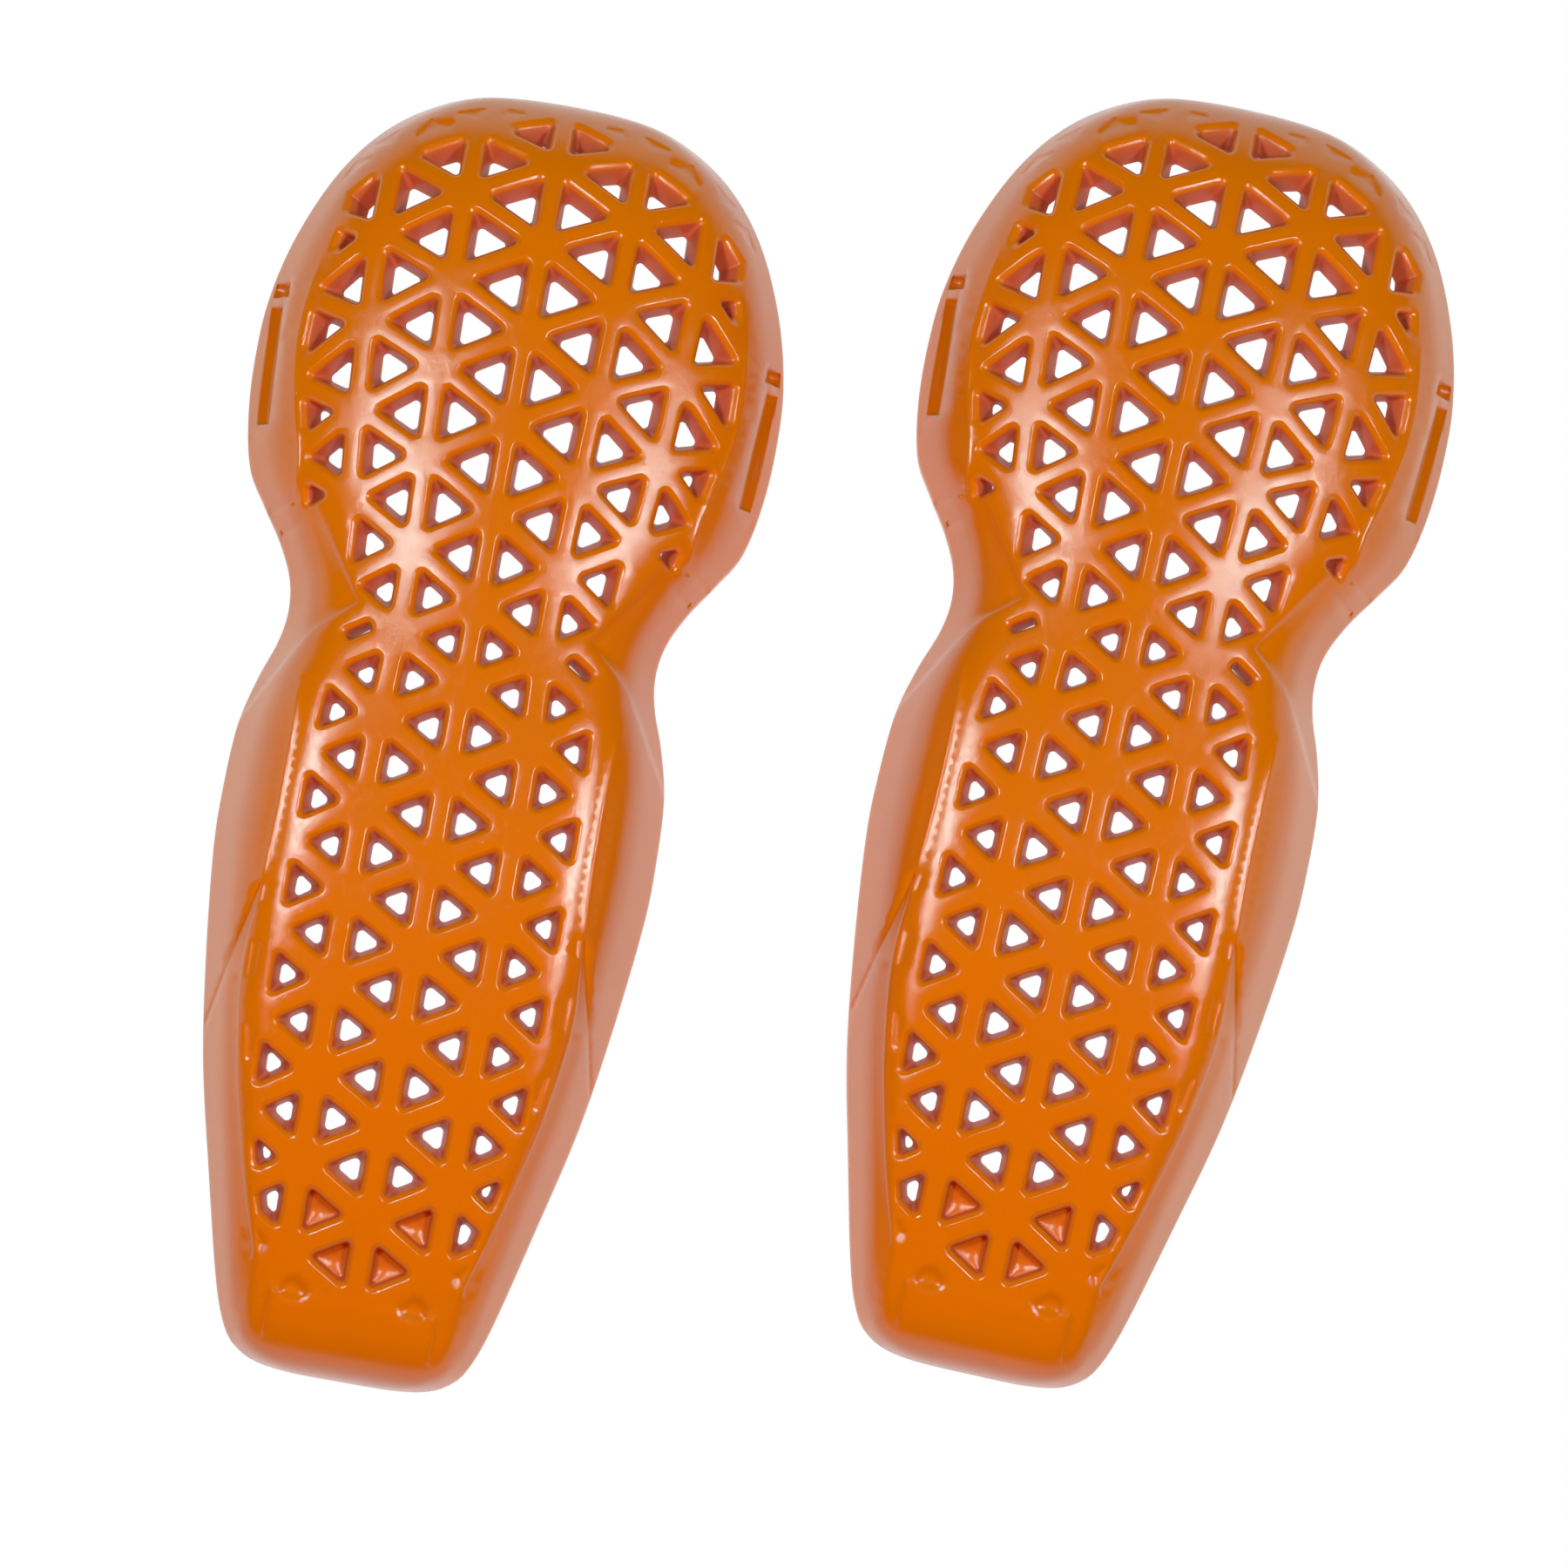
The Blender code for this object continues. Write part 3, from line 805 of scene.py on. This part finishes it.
def place_skin(bm):
    """Give every corner its place on the outer surface, on the back or in a wall."""
    bm.verts.ensure_lookup_table()
    plan = np.array([round(v[plan_layer]) for v in bm.verts])
    depth = np.array([v[depth_layer] for v in bm.verts])
    floor = np.array([v[floor_and_shade_layer] for v in bm.verts])
    flat = sheet_points[plan].copy()
    group = group_of[plan]
    place = place_in_group[plan]
    _, outward = rim_loop(0.0)
    normal = surface_normal(flat[:, 0], flat[:, 1])
    on_rim = group == 0
    normal[on_rim] = np.concatenate([outward, np.zeros((len(outward), 1))], axis=1)[place[on_rim]]
    down = np.zeros(len(plan))
    down[depth > 0.999] = WALL
    target = flat.copy()
    shade = np.zeros(len(plan))

    wall_groups = [(vents, vent_bands(), depth, SKIN_CUTS + 1, 1),
                   (pockets, pocket_bands(), floor, POCKET_CUTS + 1, 1 + len(vents))]
    for shapes, bands, layer, parts, first in wall_groups:
        step = np.rint(layer * parts).astype(int)
        for i, loops in enumerate(shapes):
            here = np.nonzero((group == first + i) & ((layer > 0.0) | (depth < 0.001)))[0]
            for k, (to_wall, to_back, sunk) in enumerate(bands):
                at = here[step[here] == k]
                at = at[(depth[at] < 0.001) | (layer is depth)]
                p0, p1, p2 = (loop[place[at]] for loop in loops)
                target[at] = p0 + (p1 - p0) * to_wall + (p2 - p1) * to_back
                down[at] = sunk
                # Painted shade: the deeper a point lies in a vent or pocket, the darker it is painted.
                shade[at] = min(max((sunk - WALL_SHADE_FROM) / WALL_SHADE_OVER, 0.0), 1.0)
    on_floor = (floor > 0.999) & (group < 0)
    down[on_floor] = POCKET_DEPTH
    # Painted shade on the floors of the blind pockets.
    shade[floor > 0.999] = POCKET_SHADE

    inner = ~on_rim
    spot = on_surface(target[:, 0], target[:, 1])
    behind = depth > 0.999
    spot[behind, 2] = surface(target[behind, 0], target[behind, 1])
    wall_normal = surface_normal(target[:, 0], target[:, 1])
    normal[inner] = wall_normal[inner]
    in_wall = inner & (group >= 0)
    normal[in_wall] = wall_direction(wall_normal[in_wall])
    spot -= normal * down[:, None]
    lowest = rim_height(spot[:, 1]) + WALL - FOOT_END
    spot[behind, 2] = np.maximum(spot[behind, 2], lowest[behind])

    step = np.rint(depth * (SKIN_CUTS + 1)).astype(int)
    inset, height = np.array(rim_bands()).T
    edge = np.nonzero(on_rim)[0]
    spot[edge, :2] = flat[edge] - normal[edge, :2] * inset[step[edge]][:, None]
    top = edge[step[edge] == 0]
    crest = spot[top, 2].copy()
    spot[edge, 2] = rim_height(spot[edge, 1]) + height[step[edge]]
    spot[top, 2] = np.maximum(spot[top, 2] + RIM_LIP, crest)
    # The floor layer now carries the painted shade.
    for vert, co, dark in zip(bm.verts, spot, shade):
        vert.co = co * MM
        vert[floor_and_shade_layer] = dark
    bmesh.ops.recalc_face_normals(bm, faces=bm.faces)
    return spot


spots = place_skin(skin)
open_edges = sum(1 for e in skin.edges if len(e.link_faces) != 2)
print("low", spots.min(axis=0).round(1), "high", spots.max(axis=0).round(1), "open edges", open_edges)

# %% [markdown]
# ## Two pads
# The left and right pads come from one mould, so both are copies of the same skin. Their distance,
# stagger and slight splay are those of the model.

# %% Place the pads
PAD_SPACING = (197.1, 40.0)
PAD_SPLAY = math.radians(1.25)


def pad_places():
    """Where the two pads lie, with the middle of the pair at the origin."""
    outline, _ = rim_loop(0.0, 7.0)
    places, spread = {}, []
    for side, sign in (("left", -1.0), ("right", 1.0)):
        angle = -sign * PAD_SPLAY
        turn = np.array([[math.cos(angle), -math.sin(angle)], [math.sin(angle), math.cos(angle)]])
        offset = 0.5 * sign * np.array(PAD_SPACING)
        spread.append(outline @ turn.T + offset)
        places[side] = (offset, angle)
    spread = np.vstack(spread)
    centre = (spread.min(axis=0) + spread.max(axis=0)) / 2.0
    return {side: (offset - centre, angle) for side, (offset, angle) in places.items()}


pads = {}
for side, (offset, angle) in pad_places().items():
    mesh = bpy.data.meshes.new(side + "_pad_moulding")
    skin.to_mesh(mesh)
    for name in ("plan", "depth"):
        mesh.attributes.remove(mesh.attributes[name])
    # This attribute carries the painted shade of the vents' walls and the pockets' floors.
    mesh.attributes["floor"].name = "painted_wall_shade"
    place = Matrix.Translation((offset[0] * MM, offset[1] * MM, 0.0)) @ Matrix.Rotation(angle, 4, "Z")
    mesh.transform(place)
    mesh.shade_smooth()
    pad = bpy.data.objects.new(side + "_pad_moulding", mesh)
    bpy.context.scene.collection.objects.link(pad)
    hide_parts(side + "_knee_cup", side + "_flex_web", side + "_shin_guard")
    side + "_shin"
    side + "_knee"
    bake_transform(pad)
    pads[side] = pad
skin.free()
print("pads", {side: len(pad.data.polygons) for side, pad in pads.items()})

# %% [markdown]
# ## Material
# The pads are a satin orange elastomer with a fine moulded grain. Node maths is easier to read
# as ordinary expressions, so sockets are wrapped in a small class that adds the nodes itself.

# %% Sockets as expressions
def add_node(tree, kind, settings, sockets):
    """Add a node, set its settings, then link its sockets or give them values."""
    node = tree.nodes.new(kind)
    for setting, choice in settings.items():
        setattr(node, setting, choice)
    for name, given in sockets.items():
        if isinstance(given, Value):
            given = given.socket
        if isinstance(given, bpy.types.NodeSocket):
            tree.links.new(given, node.inputs[name])
        else:
            node.inputs[name].default_value = given
    return node


class Value:
    """A node socket that can be used in sums, differences and products."""

    def __init__(self, tree, socket):
        self.tree = tree
        self.socket = socket

    def _math(self, operation, a, b):
        node = add_node(self.tree, "ShaderNodeMath", {"operation": operation}, {0: a, 1: b})
        return Value(self.tree, node.outputs[0])

    def __add__(self, other):
        return self._math("ADD", self, other)

    def __sub__(self, other):
        return self._math("SUBTRACT", self, other)

    def __mul__(self, other):
        return self._math("MULTIPLY", self, other)

    def __rsub__(self, other):
        return self._math("SUBTRACT", other, self)

    __radd__ = __add__
    __rmul__ = __mul__

    def ramp(self, low, high):
        """Rise smoothly from 0 to 1 between two values."""
        node = add_node(self.tree, "ShaderNodeMapRange", {"interpolation_type": "SMOOTHSTEP"},
                        {"Value": self, "From Min": low, "From Max": high})
        return Value(self.tree, node.outputs["Result"])


def noise(tree, coords, scale, detail=2.0, roughness=0.5):
    node = add_node(tree, "ShaderNodeTexNoise", {},
                    {"Vector": coords, "Scale": scale, "Detail": detail, "Roughness": roughness})
    return Value(tree, node.outputs["Fac"])


def mix_colours(tree, factor, a, b):
    """Mix two colours, each a constant or a socket."""
    node = add_node(tree, "ShaderNodeMix", {"data_type": "RGBA"}, {"Factor": factor, "A": a, "B": b})
    return node.outputs["Result"]


print("ready: add_node, Value, noise, mix_colours")

# %% Orange elastomer
def moulded_elastomer():
    """Satin orange outside, with painted shade: a deeper red painted down the walls of the vents and on
    the floors of the pockets.
    """
    material = bpy.data.materials.new("moulded_elastomer")
    material.use_nodes = True
    tree = material.node_tree
    shader = tree.nodes["Principled BSDF"]
    coords = add_node(tree, "ShaderNodeTexCoord", {}, {}).outputs["Object"]
    # The attribute holds the painted shade of the vents' walls and the pockets' floors, 0 on the outer
    # face.
    attribute = add_node(tree, "ShaderNodeAttribute", {"attribute_name": "painted_wall_shade"}, {})
    wall = Value(tree, attribute.outputs["Fac"])
    grain = noise(tree, coords, 3600.0, 1.0, 0.6)
    patches = noise(tree, coords, 60.0, 2.0)
    face = mix_colours(tree, patches, (0.76, 0.172, 0.0, 1.0), (0.71, 0.157, 0.0, 1.0))
    # Painted shade: the deep red mixed in where the vents' walls and the pockets' floors lie in shade.
    colour = mix_colours(tree, wall, face, (0.55, 0.090, 0.030, 1.0))
    tree.links.new(colour, shader.inputs["Base Color"])
    rough = patches.ramp(0.3, 0.7) * 0.04 + 0.12 + wall * 0.35
    tree.links.new(rough.socket, shader.inputs["Roughness"])
    shader.inputs["IOR"].default_value = 1.52
    bump = add_node(tree, "ShaderNodeBump", {}, {"Strength": 1.0, "Distance": 0.00005, "Height": grain})
    tree.links.new(bump.outputs["Normal"], shader.inputs["Normal"])
    return material


elastomer = moulded_elastomer()
for pad in pads.values():
    pad.data.materials.append(elastomer)
print("material", elastomer.name)

# %% [markdown]
# ## Light table and world
# The pads lie on a glowing white table, which shines through the vents. The sky is grey near the
# horizon, where it veils the steep sides, and dark above, so that the top of each pad keeps its
# full orange. A gradient does that with less work than a room of reflectors.

# %% Stage
def emission_material(name, colour, strength):
    material = bpy.data.materials.new(name)
    material.use_nodes = True
    tree = material.node_tree
    tree.nodes.remove(tree.nodes["Principled BSDF"])
    glow = add_node(tree, "ShaderNodeEmission", {}, {"Color": colour, "Strength": strength})
    tree.links.new(glow.outputs[0], tree.nodes["Material Output"].inputs["Surface"])
    return material


bm = bmesh.new()
bmesh.ops.create_grid(bm, x_segments=1, y_segments=1, size=6.0)
floor_mesh = bpy.data.meshes.new("light_table")
bm.to_mesh(floor_mesh)
bm.free()
floor_mesh.transform(Matrix.Translation((0.0, 0.0, -0.0005)))
floor = bpy.data.objects.new("light_table", floor_mesh)
bpy.context.scene.collection.objects.link(floor)
floor.data.materials.append(emission_material("table_glow", (1.0, 1.0, 1.0, 1.0), 1.0))

world = bpy.data.worlds.new("studio")
world.use_nodes = True
bpy.context.scene.world = world
tree = world.node_tree
background = tree.nodes["Background"]
view = add_node(tree, "ShaderNodeTexCoord", {}, {}).outputs["Generated"]
direction = add_node(tree, "ShaderNodeSeparateXYZ", {}, {0: view})
height = Value(tree, direction.outputs["Z"])
towards_knees = Value(tree, direction.outputs["Y"])
lit = (1.0 - height.ramp(-0.05, 0.30)) * (1.0 - towards_knees.ramp(0.0, 0.6) * 0.9)
sky = mix_colours(tree, 1.0 - lit, (0.42, 0.5, 0.5, 1.0), (0.0, 0.0, 0.0, 1.0))
tree.links.new(sky, background.inputs["Color"])
background.inputs["Strength"].default_value = 1.0
print("stage", floor.name, "world", world.name)

# %% [markdown]
# ## Soft boxes
# Two small soft boxes beside the camera's axis draw the pale bands along the shoulders. White ones
# would turn the bands salmon, because the red of an orange is full long before its green and blue.
# So the boxes are a little cool, and a wide warm fill above gives the pads their red back.

# %% Soft boxes and fill
VIEW_TILT = math.radians(6.0)
VIEW_ROLL = math.radians(11.35)
VIEW_AT = Vector((2.86, -12.41, -0.52)) * MM
VIEW_WIDTH = 478.0 * MM
VIEW_DISTANCE = 6.0
up_pad = Vector((0.0, math.cos(VIEW_TILT), math.sin(VIEW_TILT)))
to_camera = Vector((0.0, -math.sin(VIEW_TILT), math.cos(VIEW_TILT)))
right_pad = Vector((1.0, 0.0, 0.0))
COOL = (0.66, 1.0, 1.0)
WARM = (1.0, 0.06, 0.0)


def soft_box(name, across, along, width, length, watts, colour, distance=1.6):
    """An area light that stands off the camera's axis by two angles, in degrees."""
    a, b = math.radians(across), math.radians(along)
    line = (to_camera + right_pad * math.tan(a) + up_pad * math.tan(b)).normalized()
    light = bpy.data.lights.new(name, "AREA")
    light.shape = "RECTANGLE"
    light.size = width
    light.size_y = length
    light.energy = watts
    light.color = colour
    box = bpy.data.objects.new(name, light)
    bpy.context.scene.collection.objects.link(box)
    box.location = line * distance
    z = line
    y = (up_pad - z * up_pad.dot(z)).normalized()
    x = y.cross(z)
    box.rotation_mode = "QUATERNION"
    box.rotation_quaternion = Matrix((x, y, z)).transposed().to_quaternion()
    box.visible_camera = False
    return box


soft_box("box_left", -27.0, 9.0, 0.22, 0.38, 13.0, COOL)
soft_box("box_right", 27.0, 9.0, 0.22, 0.38, 13.0, COOL)
soft_box("warm_fill", 0.0, -12.0, 2.0, 1.4, 12.0, WARM)
print("lights", [light.name for light in bpy.data.lights])

# %% [markdown]
# ## Camera
# A long lens from far away keeps both pads in the same perspective. It looks almost straight down,
# and is rolled, so that the pads lean to the right.

# %% Camera
camera_data = bpy.data.cameras.new("camera")
camera_data.sensor_width = 36.0
camera_data.lens = 36.0 * VIEW_DISTANCE / VIEW_WIDTH
camera_data.clip_start = 0.05
camera_data.clip_end = 100.0
camera = bpy.data.objects.new("camera", camera_data)
bpy.context.scene.collection.objects.link(camera)
roll_right = right_pad * math.cos(VIEW_ROLL) + up_pad * math.sin(VIEW_ROLL)
roll_up = up_pad * math.cos(VIEW_ROLL) - right_pad * math.sin(VIEW_ROLL)
camera.location = VIEW_AT + to_camera * VIEW_DISTANCE
camera.rotation_mode = "QUATERNION"
camera.rotation_quaternion = Matrix((roll_right, roll_up, to_camera)).transposed().to_quaternion()
bpy.context.scene.camera = camera
bpy.context.scene.view_settings.view_transform = "Standard"
print("lens", round(camera_data.lens, 1), "mm")
